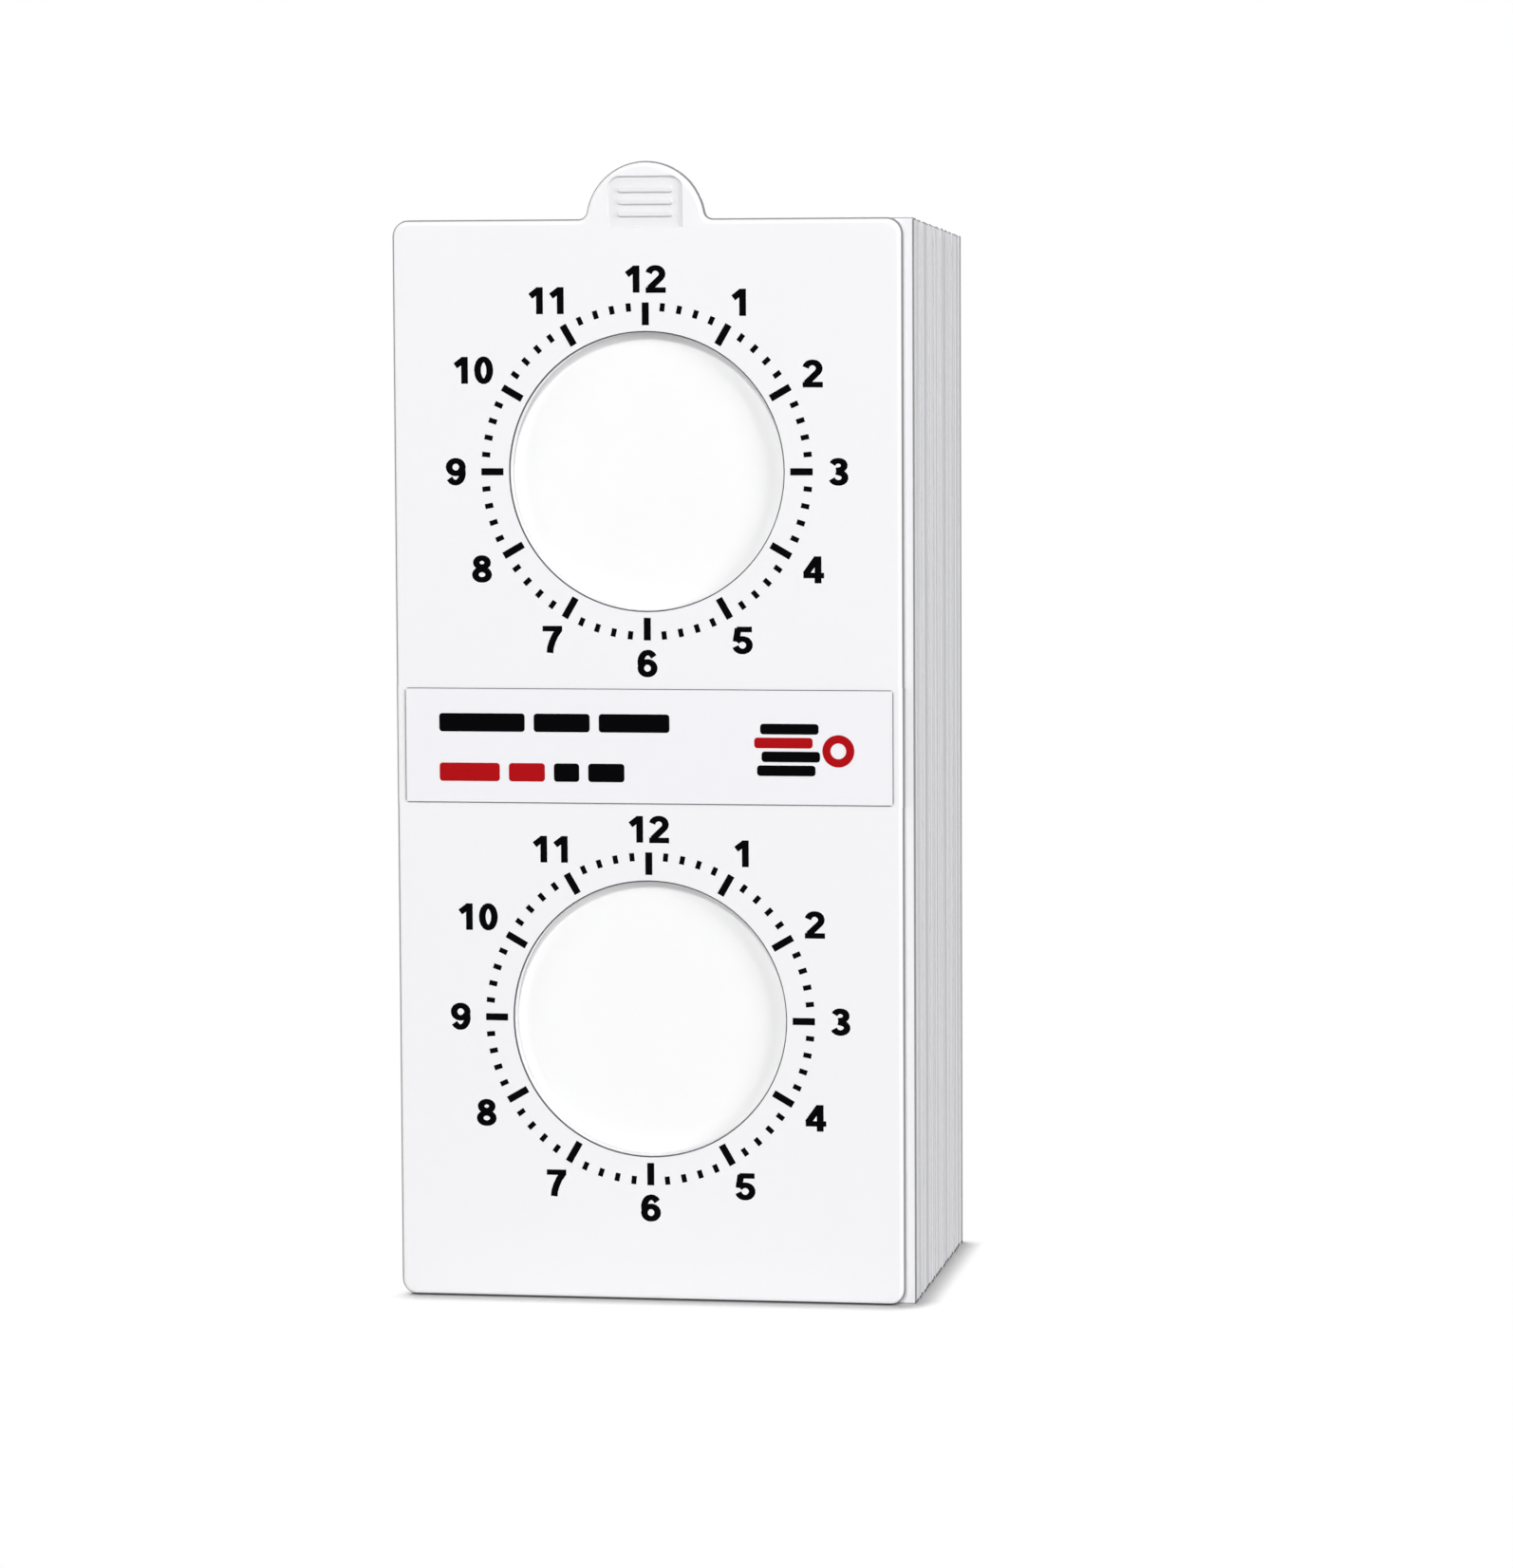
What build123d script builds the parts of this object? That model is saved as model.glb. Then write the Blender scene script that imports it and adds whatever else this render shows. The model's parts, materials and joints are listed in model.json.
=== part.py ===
from build123d import *
import math
import os

# A pack of coin holder flips standing on its bottom edge: a moulded cover flip that folds in two,
# a plain backing card behind it, and a block of windowed card flips behind that.
# X runs to the right, Y runs back through the block and Z runs up. The origin is on the floor,
# under the middle of the pack.

# Cover flip, which stands a little to the left of the pack's middle
cover_width = 56.0
cover_offset = -0.48
cover_thickness = 1.4
lower_leaf_height = 54.15
upper_leaf_height = 50.45
corner_radius = 1.8
edge_round = 0.7
window_diameter = 30.0
window_to_fold = 29.7
window_edge_round = 0.15

# Fold web between the two leaves, level with their faces and thinned to a living hinge along the fold line
web_height = 12.9
web_thickness = 0.7
web_edge_round = 0.5
hinge_groove_radius = 0.2

# Label on the fold web
label_width = 53.8
label_height = 12.5
label_thickness = 0.12
label_corner_radius = 0.4

# Finger tab on the upper leaf, with a sunk panel of grip ribs
tab_radius = 6.6
tab_rise = 6.2
tab_flare = 0.9
panel_width = 8.1
panel_height = 5.4
panel_depth = 0.3
panel_corner_radius = 1.3
panel_to_tip = 1.7
rib_width = 6.0
rib_height = 0.6
rib_pitch = 1.3
rib_count = 3

# Clear window film, which overlaps the card around each window
film_thickness = 0.08
film_overlap = 5.5

# Backing card and the block of card flips, which stand a little to the right of the pack's middle
block_offset = 0.42
card_width = 56.0
card_height = 117.5
backing_thickness = 0.5
card_thickness = 1.6
card_count = 20
sheet_gap = 0.05
score_width = 0.8
score_depth = 0.3
score_end_gap = 1.5

# How unevenly the cards of the block were cut and squared up
edge_jog = 0.06
height_spread = 0.1

# Heights worked out from the sizes above
fold_height = lower_leaf_height + web_height / 2
upper_leaf_bottom = lower_leaf_height + web_height
upper_leaf_top = upper_leaf_bottom + upper_leaf_height
lower_window = fold_height - window_to_fold
upper_window = fold_height + window_to_fold
tab_centre = upper_leaf_top + tab_rise - tab_radius
panel_centre = upper_leaf_top + tab_rise - panel_to_tip - panel_height / 2
film_reach = window_diameter / 2 + film_overlap

# Depths worked out from the front of the pack to its back
card_pitch = sheet_gap + card_thickness + film_thickness
cover_depth = label_thickness + cover_thickness + film_thickness
pack_depth = cover_depth + sheet_gap + backing_thickness + card_count * card_pitch
cover_front = -pack_depth / 2 + label_thickness
cover_back = cover_front + cover_thickness
backing_front = cover_back + film_thickness + sheet_gap
block_front = backing_front + backing_thickness
web_back = cover_front + web_thickness
fold_depth = cover_front + web_thickness / 2

os.makedirs("parts", exist_ok=True)


def upright(depth):
    """A plane that faces the front of the pack, this far back."""
    return Plane.XZ.offset(-depth)


def keep(piece, name):
    """Label a finished piece and write it."""
    piece.part.label = name
    export_step(piece.part, f"parts/{name}.step")


def front_face(piece):
    return piece.faces().filter_by(Axis.Y).sort_by(Axis.Y)[0]


def round_leaf(piece, fold_side):
    """Round a leaf's front edges, apart from the one along the fold."""
    outline = front_face(piece).outer_wire().edges()
    fold_edge = outline.filter_by(Axis.X).sort_by(Axis.Z)[fold_side]
    fillet(outline.filter_by(lambda edge: edge != fold_edge), radius=edge_round)
    window = front_face(piece).edges().filter_by(GeomType.CIRCLE).sort_by(SortBy.RADIUS)[-1]
    fillet(window, radius=window_edge_round)


# Lower leaf of the cover flip: a moulded panel with one round window, which stands on the floor
with BuildPart() as lower_leaf:
    with BuildSketch(upright(cover_back)) as lower_outline:
        with Locations((cover_offset, lower_leaf_height / 2)):
            Rectangle(cover_width, lower_leaf_height)
        fillet(lower_outline.vertices().group_by(Axis.Y)[0], radius=corner_radius)
        with Locations((cover_offset, lower_window)):
            Circle(window_diameter / 2, mode=Mode.SUBTRACT)
    extrude(amount=cover_thickness)
    round_leaf(lower_leaf, -1)
keep(lower_leaf, "cover_lower_leaf")

# Upper leaf of the cover flip: the same panel with a finger tab on its free edge
with BuildPart() as upper_leaf:
    with BuildSketch(upright(cover_back)) as upper_outline:
        with Locations((cover_offset, upper_leaf_bottom + upper_leaf_height / 2)):
            Rectangle(cover_width, upper_leaf_height)
        with Locations((cover_offset, tab_centre)):
            Circle(tab_radius)
        tab_feet = upper_outline.vertices().group_by(Axis.Y)[-1].sort_by(Axis.X)[1:-1]
        fillet(tab_feet, radius=tab_flare)
        top_corners = upper_outline.edges().filter_by(Axis.Y).vertices().group_by(Axis.Y)[-1]
        fillet(top_corners, radius=corner_radius)
        with Locations((cover_offset, upper_window)):
            Circle(window_diameter / 2, mode=Mode.SUBTRACT)
    extrude(amount=cover_thickness)
    round_leaf(upper_leaf, 0)
    with BuildSketch(upright(cover_front)) as panel_outline:
        with Locations((cover_offset, panel_centre)):
            Rectangle(panel_width, panel_height)
        fillet(panel_outline.vertices().group_by(Axis.Y)[-1], radius=panel_corner_radius)
        with Locations((cover_offset, panel_centre)):
            with GridLocations(0, rib_pitch, 1, rib_count):
                SlotOverall(rib_width, rib_height, mode=Mode.SUBTRACT)
    extrude(amount=-panel_depth, mode=Mode.SUBTRACT)
keep(upper_leaf, "cover_upper_leaf")

# Fold web: a thin strip that carries on the leaves' faces, with the hinge groove along its back
with BuildPart() as fold_web:
    with BuildSketch(upright(web_back)):
        with Locations((cover_offset, fold_height)):
            Rectangle(cover_width, web_height)
    extrude(amount=web_thickness)
    web_round = min(web_edge_round, 0.8 * web_thickness)
    fillet(front_face(fold_web).edges().filter_by(Axis.Z), radius=web_round)
    with BuildSketch(Plane.YZ.offset(cover_offset)) as groove:
        with Locations((fold_depth, fold_height)):
            Circle(hinge_groove_radius)
        with Locations((fold_depth + web_thickness / 4, fold_height)):
            Rectangle(web_thickness / 2, 2 * hinge_groove_radius)
    extrude(amount=cover_width / 2, both=True, mode=Mode.SUBTRACT)
keep(fold_web, "cover_fold_web")

# Label: a thin paper sticker on the front of the fold web
with BuildPart() as label:
    with BuildSketch(upright(cover_front)):
        with Locations((cover_offset, fold_height)):
            RectangleRounded(label_width, label_height, label_corner_radius)
    extrude(amount=label_thickness)
keep(label, "cover_label")


def cover_film(window_height, name):
    """A square of clear film on the back of one leaf."""
    with BuildPart() as film:
        with BuildSketch(upright(cover_back + film_thickness)):
            with Locations((cover_offset, window_height)):
                Rectangle(2 * film_reach, 2 * film_reach)
        extrude(amount=film_thickness)
    keep(film, name)


cover_film(lower_window, "cover_lower_film")
cover_film(upper_window, "cover_upper_film")

# Backing card: plain white card between the cover flip and the block
with BuildPart() as backing:
    with BuildSketch(upright(backing_front + backing_thickness)):
        with Locations((block_offset, card_height / 2)):
            Rectangle(card_width, card_height)
    extrude(amount=backing_thickness)
keep(backing, "backing_card")


def card_flip(index):
    """One flip of the block: a card with two windows and a fold score, and the film on its back."""
    card_front = block_front + sheet_gap + index * card_pitch
    card_back = card_front + card_thickness
    middle = block_offset + edge_jog * math.sin(2.4 * index)
    height = card_height - height_spread * math.sin(1.7 * index) ** 2
    with BuildPart() as card:
        with BuildSketch(upright(card_back)):
            with Locations((middle, height / 2)):
                Rectangle(card_width, height)
            with Locations((middle, lower_window), (middle, upper_window)):
                Circle(window_diameter / 2, mode=Mode.SUBTRACT)
        extrude(amount=card_thickness)
        with BuildSketch(upright(card_front)):
            with Locations((middle, fold_height)):
                Rectangle(card_width - 2 * score_end_gap, score_width)
        extrude(amount=-score_depth, mode=Mode.SUBTRACT)
    keep(card, f"flip_{index + 1:02d}_card")
    with BuildPart() as film:
        with BuildSketch(upright(card_back + film_thickness)):
            with Locations((middle, fold_height)):
                Rectangle(2 * film_reach, 2 * (window_to_fold + film_reach))
        extrude(amount=film_thickness)
    keep(film, f"flip_{index + 1:02d}_film")


for flip_index in range(card_count):
    card_flip(flip_index)
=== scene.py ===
import json
import math

import bmesh
import bpy
from mathutils import Matrix, Vector

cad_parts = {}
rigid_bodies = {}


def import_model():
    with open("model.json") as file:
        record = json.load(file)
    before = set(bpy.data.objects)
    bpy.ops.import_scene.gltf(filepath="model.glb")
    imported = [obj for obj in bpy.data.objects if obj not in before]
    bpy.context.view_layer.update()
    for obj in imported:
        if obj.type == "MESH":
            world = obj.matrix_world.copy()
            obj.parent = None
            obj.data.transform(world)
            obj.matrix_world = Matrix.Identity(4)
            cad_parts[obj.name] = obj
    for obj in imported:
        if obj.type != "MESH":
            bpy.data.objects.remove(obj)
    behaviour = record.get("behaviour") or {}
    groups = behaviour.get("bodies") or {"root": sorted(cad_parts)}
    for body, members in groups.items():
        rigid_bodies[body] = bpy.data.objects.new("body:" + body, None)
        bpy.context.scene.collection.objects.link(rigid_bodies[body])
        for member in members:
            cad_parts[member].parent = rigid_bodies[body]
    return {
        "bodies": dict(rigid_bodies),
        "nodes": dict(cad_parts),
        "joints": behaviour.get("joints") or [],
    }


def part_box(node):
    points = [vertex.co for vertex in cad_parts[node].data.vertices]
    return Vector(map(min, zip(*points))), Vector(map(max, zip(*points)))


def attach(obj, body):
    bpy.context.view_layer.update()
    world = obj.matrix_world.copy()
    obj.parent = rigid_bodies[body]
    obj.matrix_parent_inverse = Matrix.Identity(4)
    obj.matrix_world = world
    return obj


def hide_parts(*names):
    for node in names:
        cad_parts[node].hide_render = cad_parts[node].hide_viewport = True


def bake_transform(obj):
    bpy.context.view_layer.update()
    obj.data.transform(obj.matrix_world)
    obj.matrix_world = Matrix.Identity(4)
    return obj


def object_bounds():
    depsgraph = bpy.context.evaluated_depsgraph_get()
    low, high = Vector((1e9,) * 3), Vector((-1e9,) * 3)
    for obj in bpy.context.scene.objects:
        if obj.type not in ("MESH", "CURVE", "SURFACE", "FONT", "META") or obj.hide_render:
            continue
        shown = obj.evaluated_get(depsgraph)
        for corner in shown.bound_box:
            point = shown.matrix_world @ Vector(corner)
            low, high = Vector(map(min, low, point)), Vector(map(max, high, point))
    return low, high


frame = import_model()
cad_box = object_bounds()

# Card flips: die-cut sheets of white coated card, each with two round windows and a scored fold line.
# They stand loose behind each other, so on the pack's side only their grey cut edges show.
# Lengths here and below are in millimetres, and each finished mesh is scaled to metres.
window_radius = 15.0
window_to_fold = 29.7
window_segments = 96
score_width = 0.8
score_depth = 0.3
score_end_gap = 1.5
card_white = (0.92, 0.92, 0.925, 1.0)
card_edge_pale = (0.975, 0.97, 1.0, 1.0)
card_edge_grey = (0.73, 0.725, 0.77, 1.0)
# Painted shade: the colour of the gaps between the sheets
card_gap_shade = (0.34, 0.34, 0.37, 1.0)
# Painted shade: the colour of the dark outlines at the block's ends and along its top
card_outline_shade = (0.32, 0.32, 0.33, 1.0)
# Painted contact shadow at the foot of the block's sides
card_foot_shadow = (0.06, 0.06, 0.065, 1.0)
streak_stretch = (10, 1500, 10)
fibre_stretch = (260, 6000, 260)
streak_waver = 0.6
fibre_share = 0.25
sheet_tone_share = 0.3
streak_limits = (0.36, 0.6)
# Where the painted gap shade starts and ends on each sheet, and how faint it can get
gap_shade_limits = (0.20, 0.08)
faintest_gap_shade = 0.45
# Painted shade: how far the dark outlines reach into the block from its rear and from its front
rear_sheet_shade = 0.9
front_sheet_shade = 0.3
# Heights over which the painted contact shadow fades out at the foot
card_foot_shadow_heights = (0.32, 0.12)
# Drops from the top over which the painted shade along the top fades out
card_head_shade_drops = (0.20, 0.08)
mottle_scale = 90
grain_relief = 0.00005
fibre_relief = (0.4, 0.0001)
# Mottle, grain, roughness, spread of the roughness, and relief
card_finish = (0.03, 2600, 0.5, 0.25, 0.08)
film_clearance = 0.01
# How near a cut takes in a corner, and how squarely a face looks along an axis
cut_reach = 1e-5
squarely = 0.9
fold_joint = next(joint for joint in frame["joints"] if joint["name"] == "cover_fold")
fold_z = 1000 * fold_joint["pos_m"][2]
window_heights = (fold_z - window_to_fold, fold_z + window_to_fold)
upright = Matrix.Rotation(math.radians(90), 4, "X")
flip_names = sorted(name for name in frame["bodies"] if name.startswith("flip_"))


def box_mm(node):
    """The lowest and highest corner of a CAD node, in millimetres."""
    low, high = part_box(node)
    return low * 1000, high * 1000


def make_piece(name, bm, slot, *materials):
    """A finished mesh in metres, with its place in its vertices."""
    bmesh.ops.scale(bm, vec=(0.001, 0.001, 0.001), verts=bm.verts)
    mesh = bpy.data.meshes.new(name)
    bm.to_mesh(mesh)
    bm.free()
    for material in materials:
        mesh.materials.append(material)
    piece = bpy.data.objects.new(name, mesh)
    bpy.context.scene.collection.objects.link(piece)
    return piece


def feed(tree, socket, value):
    """Set a socket to a number or a colour, or link another node's output to it."""
    if isinstance(value, bpy.types.NodeSocket):
        tree.links.new(value, socket)
    else:
        socket.default_value = value


def worked_out(tree, operation, *values):
    """The result of one sum on sockets or numbers."""
    node = tree.nodes.new("ShaderNodeMath")
    node.operation = operation
    for socket, value in zip(node.inputs, values):
        feed(tree, socket, value)
    return node.outputs[0]


def share_between(tree, value, start, end, clamp=True, curve="LINEAR", low=0.0):
    """How far a value has come from its start to its end, as a share from the low one up to 1."""
    node = tree.nodes.new("ShaderNodeMapRange")
    node.clamp = clamp
    node.interpolation_type = curve
    settings = {"Value": value, "From Min": start, "From Max": end, "To Min": low}
    for name, setting in settings.items():
        feed(tree, node.inputs[name], setting)
    return node.outputs["Result"]


def mixed(tree, kind, share, first, second):
    """Two colours or two numbers, mixed by this share of the second."""
    node = tree.nodes.new("ShaderNodeMix")
    node.data_type = kind
    for name, value in (("Factor", share), ("A", first), ("B", second)):
        feed(tree, node.inputs[name], value)
    return node.outputs["Result"]


def noise(tree, place, scale, detail, distortion=0.0):
    """A noise pattern over these coordinates."""
    node = tree.nodes.new("ShaderNodeTexNoise")
    settings = {"Vector": place, "Scale": scale, "Detail": detail, "Distortion": distortion}
    for name, setting in settings.items():
        feed(tree, node.inputs[name], setting)
    return node.outputs["Fac"]


def axes(tree, vector):
    """The X, Y and Z of a vector."""
    node = tree.nodes.new("ShaderNodeSeparateXYZ")
    tree.links.new(vector, node.inputs["Vector"])
    return node.outputs


def add_relief(tree, height, strength, distance):
    """Raise the grain of a surface by this height."""
    relief = tree.nodes.new("ShaderNodeBump")
    relief.inputs["Strength"].default_value = strength
    relief.inputs["Distance"].default_value = distance
    tree.links.new(height, relief.inputs["Height"])
    tree.links.new(relief.outputs["Normal"], tree.nodes["Principled BSDF"].inputs["Normal"])


def surface_grain_group():
    """Fine mottle in colour, roughness and height, laid over a surface by its own coordinates."""
    group = bpy.data.node_groups.new("surface_grain", "ShaderNodeTree")
    tone = group.interface.new_socket("Tone", in_out="INPUT", socket_type="NodeSocketColor")
    tone.default_value = (1, 1, 1, 1)
    for label in ("Spread", "Grain", "Roughness", "Roughness Spread"):
        group.interface.new_socket(label, in_out="INPUT", socket_type="NodeSocketFloat")
    group.interface.new_socket("Color", in_out="OUTPUT", socket_type="NodeSocketColor")
    for label in ("Roughness", "Height"):
        group.interface.new_socket(label, in_out="OUTPUT", socket_type="NodeSocketFloat")
    given = group.nodes.new("NodeGroupInput").outputs
    result = group.nodes.new("NodeGroupOutput").inputs
    place = group.nodes.new("ShaderNodeTexCoord").outputs["Object"]
    fine = noise(group, place, given["Grain"], detail=4)
    broad = noise(group, place, mottle_scale, detail=2)
    amount = worked_out(group, "MULTIPLY", worked_out(group, "MULTIPLY", fine, broad), given["Spread"])
    group.links.new(mixed(group, "RGBA", amount, given["Tone"], (0, 0, 0, 1)), result["Color"])
    swing = worked_out(group, "SUBTRACT", fine, 0.5)
    rough = worked_out(group, "MULTIPLY_ADD", swing, given["Roughness Spread"], given["Roughness"])
    group.links.new(rough, result["Roughness"])
    group.links.new(fine, result["Height"])
    return group


surface_grain = surface_grain_group()


def grained_material(name, tone, spread, grain, roughness, roughness_spread, bump):
    """A material whose colour, gloss and relief vary with the surface grain."""
    material = bpy.data.materials.new(name)
    material.use_nodes = True
    tree = material.node_tree
    shader = tree.nodes["Principled BSDF"]
    surface = tree.nodes.new("ShaderNodeGroup")
    surface.node_tree = surface_grain
    settings = {"Tone": tone, "Spread": spread, "Grain": grain, "Roughness": roughness,
                "Roughness Spread": roughness_spread}
    for label, setting in settings.items():
        surface.inputs[label].default_value = setting
    tree.links.new(surface.outputs["Color"], shader.inputs["Base Color"])
    tree.links.new(surface.outputs["Roughness"], shader.inputs["Roughness"])
    add_relief(tree, surface.outputs["Height"], bump, grain_relief)
    return material


def stretched_noise(tree, place, stretch, distortion):
    """A noise pattern whose scale differs along each axis."""
    drawn = tree.nodes.new("ShaderNodeMapping")
    drawn.inputs["Scale"].default_value = stretch
    tree.links.new(place, drawn.inputs["Vector"])
    return noise(tree, drawn.outputs["Vector"], scale=1, detail=3, distortion=distortion)


def cut_edge_material():
    """Bare card fibre with streaks along the cut. Each sheet has its own tone, and painted shade darkens its
    borders where the sheets meet.

    Painted shade darkens the end sheets and the top of the sides into outlines, and a painted contact shadow
    darkens the foot of the sides.
    """
    first_low = box_mm(f"{flip_names[0]}_card")[0]
    second_low = box_mm(f"{flip_names[1]}_card")[0]
    last_high = box_mm(f"{flip_names[-1]}_card")[1]
    material = bpy.data.materials.new("card_cut_edge")
    material.use_nodes = True
    tree = material.node_tree
    shader = tree.nodes["Principled BSDF"]
    shader.inputs["Roughness"].default_value = 0.85
    shader.inputs["Specular IOR Level"].default_value = 0.2
    surface = tree.nodes.new("ShaderNodeTexCoord").outputs
    place = axes(tree, surface["Object"])
    sheet = share_between(tree, place["Y"], first_low.y / 1000, second_low.y / 1000, clamp=False)
    sheet_noise = tree.nodes.new("ShaderNodeTexWhiteNoise")
    sheet_noise.noise_dimensions = "1D"
    tree.links.new(worked_out(tree, "FLOOR", sheet), sheet_noise.inputs["W"])
    sheet_tone = sheet_noise.outputs["Value"]
    streaks = stretched_noise(tree, surface["Object"], streak_stretch, distortion=streak_waver)
    fibres = stretched_noise(tree, surface["Object"], fibre_stretch, distortion=0.0)
    lines = mixed(tree, "FLOAT", fibre_share, streaks, fibres)
    tones = tree.nodes.new("ShaderNodeValToRGB")
    stops = zip(tones.color_ramp.elements, streak_limits, (card_edge_grey, card_edge_pale))
    for stop, limit, colour in stops:
        stop.position = limit
        stop.color = colour
    tree.links.new(mixed(tree, "FLOAT", sheet_tone_share, lines, sheet_tone), tones.inputs["Fac"])
    # Painted shade in the gaps between the sheets: each sheet's edge darkens towards its borders, by a depth
    # that varies from sheet to sheet
    to_border = worked_out(tree, "PINGPONG", sheet, 0.5)
    gap_shade = share_between(tree, to_border, *gap_shade_limits, curve="SMOOTHSTEP")
    gap_shade_depth = share_between(tree, sheet_tone, 0.0, 1.0, low=faintest_gap_shade)
    gap_shade_strength = worked_out(tree, "MULTIPLY", gap_shade, gap_shade_depth)
    gap_shaded = mixed(tree, "RGBA", gap_shade_strength, tones.outputs["Color"], card_gap_shade)
    # Painted shade: the rear sheet's edge and the edges at the block's front, the backing card's among them,
    # darken into outlines
    rear_shade = worked_out(tree, "GREATER_THAN", place["Y"], (last_high.y - rear_sheet_shade) / 1000)
    front = worked_out(tree, "LESS_THAN", place["Y"], (first_low.y + front_sheet_shade) / 1000)
    sideways = worked_out(tree, "ABSOLUTE", axes(tree, surface["Normal"])["X"])
    # Painted contact shadow at the foot of the sides, and painted shade along their top
    foot = share_between(tree, place["Z"], *[height / 1000 for height in card_foot_shadow_heights])
    head_shade = share_between(tree, place["Z"], *[(last_high.z - drop) / 1000 for drop in card_head_shade_drops])
    foot_shadow_on_sides, head_shade_on_sides = (worked_out(tree, "MULTIPLY", end, sideways) for end in (foot, head_shade))
    painted_shades = ((rear_shade, card_outline_shade), (front, card_outline_shade), (foot_shadow_on_sides, card_foot_shadow),
             (head_shade_on_sides, card_outline_shade))
    colour = gap_shaded
    for share, shade_colour in painted_shades:
        colour = mixed(tree, "RGBA", share, colour, shade_colour)
    tree.links.new(colour, shader.inputs["Base Color"])
    add_relief(tree, fibres, *fibre_relief)
    return material


def punched_sheet(low, high, windows):
    """A card of this box with a round window at each (x, z) spot."""
    bm = bmesh.new()
    middle = (low + high) / 2
    size = high - low
    flat = Matrix.Translation((middle.x, low.y, middle.z)) @ upright
    bmesh.ops.create_grid(bm, x_segments=1, y_segments=1, size=0.5,
                          matrix=flat @ Matrix.Diagonal((size.x, size.z, 1, 1)))
    bmesh.ops.delete(bm, geom=bm.faces[:], context="FACES_ONLY")
    for x, z in windows:
        bmesh.ops.create_circle(bm, cap_ends=False, radius=window_radius, segments=window_segments,
                                matrix=Matrix.Translation((x, low.y, z)) @ upright)
    bmesh.ops.triangle_fill(bm, use_beauty=True, use_dissolve=False, edges=bm.edges[:])
    back = bmesh.ops.extrude_face_region(bm, geom=bm.faces[:])
    moved = [part for part in back["geom"] if isinstance(part, bmesh.types.BMVert)]
    bmesh.ops.translate(bm, vec=(0, size.y, 0), verts=moved)
    bmesh.ops.recalc_face_normals(bm, faces=bm.faces[:])
    return bm


def press_score(bm, low, high):
    """Sink the fold score into the front of a card."""
    middle_x = (low.x + high.x) / 2
    reach = (high.x - low.x) / 2 - score_end_gap
    cuts = [((0, 0, fold_z + side * score_width / 2), (0, 0, 1)) for side in (-1, 1)]
    cuts += [((middle_x + side * reach, 0, 0), (1, 0, 0)) for side in (-1, 1)]
    for spot, across in cuts:
        everything = bm.verts[:] + bm.edges[:] + bm.faces[:]
        bmesh.ops.bisect_plane(bm, geom=everything, plane_co=spot, plane_no=across, dist=cut_reach)
    strip = []
    for face in bm.faces:
        centre = face.calc_center_median()
        on_line = abs(centre.z - fold_z) < score_width / 2 and abs(centre.x - middle_x) < reach
        if face.normal.y < -squarely and on_line:
            strip.append(face)
    sunk = bmesh.ops.extrude_face_region(bm, geom=strip)
    moved = [part for part in sunk["geom"] if isinstance(part, bmesh.types.BMVert)]
    bmesh.ops.translate(bm, vec=(0, score_depth, 0), verts=moved)


def show_cut_edges(bm):
    """The second material goes on every face that a blade has cut."""
    bm.normal_update()
    for face in bm.faces:
        face.material_index = 0 if abs(face.normal.y) > squarely else 1


card_face = grained_material("card_coated_face", card_white, *card_finish)
card_edge = cut_edge_material()
for flip in flip_names:
    card_low, card_high = box_mm(f"{flip}_card")
    card_middle = (card_low.x + card_high.x) / 2
    sheet_high = card_high - Vector((0, film_clearance, 0))
    card_bm = punched_sheet(card_low, sheet_high, [(card_middle, z) for z in window_heights])
    press_score(card_bm, card_low, card_high)
    show_cut_edges(card_bm)
    card = make_piece(f"{flip}_sheet", card_bm, "white_card", card_face, card_edge)
    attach(card, flip)
    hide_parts(f"{flip}_card")

# Dial prints: a black ring of ticks and the numbers of a clock face, printed round each window so that a
# coin's turn can be read. The print is a film of ink, and the numbers are drawn with a broad even stroke.
dial_tick_count = 60
hour_ticks = (15.75, 18.2, 0.77)
minute_ticks = (17.3, 18.2, 0.55)
numeral_clearance = (1.05, 1.75)
numeral_height = 2.9
numeral_stroke = 0.258
numeral_flat_thinning = 0.2
numeral_width = 0.75
numeral_advance = 0.79
ink_thickness = 0.02
ink_lift = 0.004
ink_black = (0.002, 0.002, 0.0025, 1.0)
black_mottle = 0.3
ink_finish = (4000, 0.6, 0.2, 0.05)
ink_gloss = 0.01
# Two points this near are one point
touch = 1e-4


def bow(x, z, wide, high, start, end, step=20):
    """Points along an oval arc about (x, z), from one angle to another in degrees."""
    count = max(2, round(abs(end - start) / step))
    turns = [math.radians(start + (end - start) * i / count) for i in range(count + 1)]
    return [(x + wide * math.cos(turn), z + high * math.sin(turn)) for turn in turns]


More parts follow.
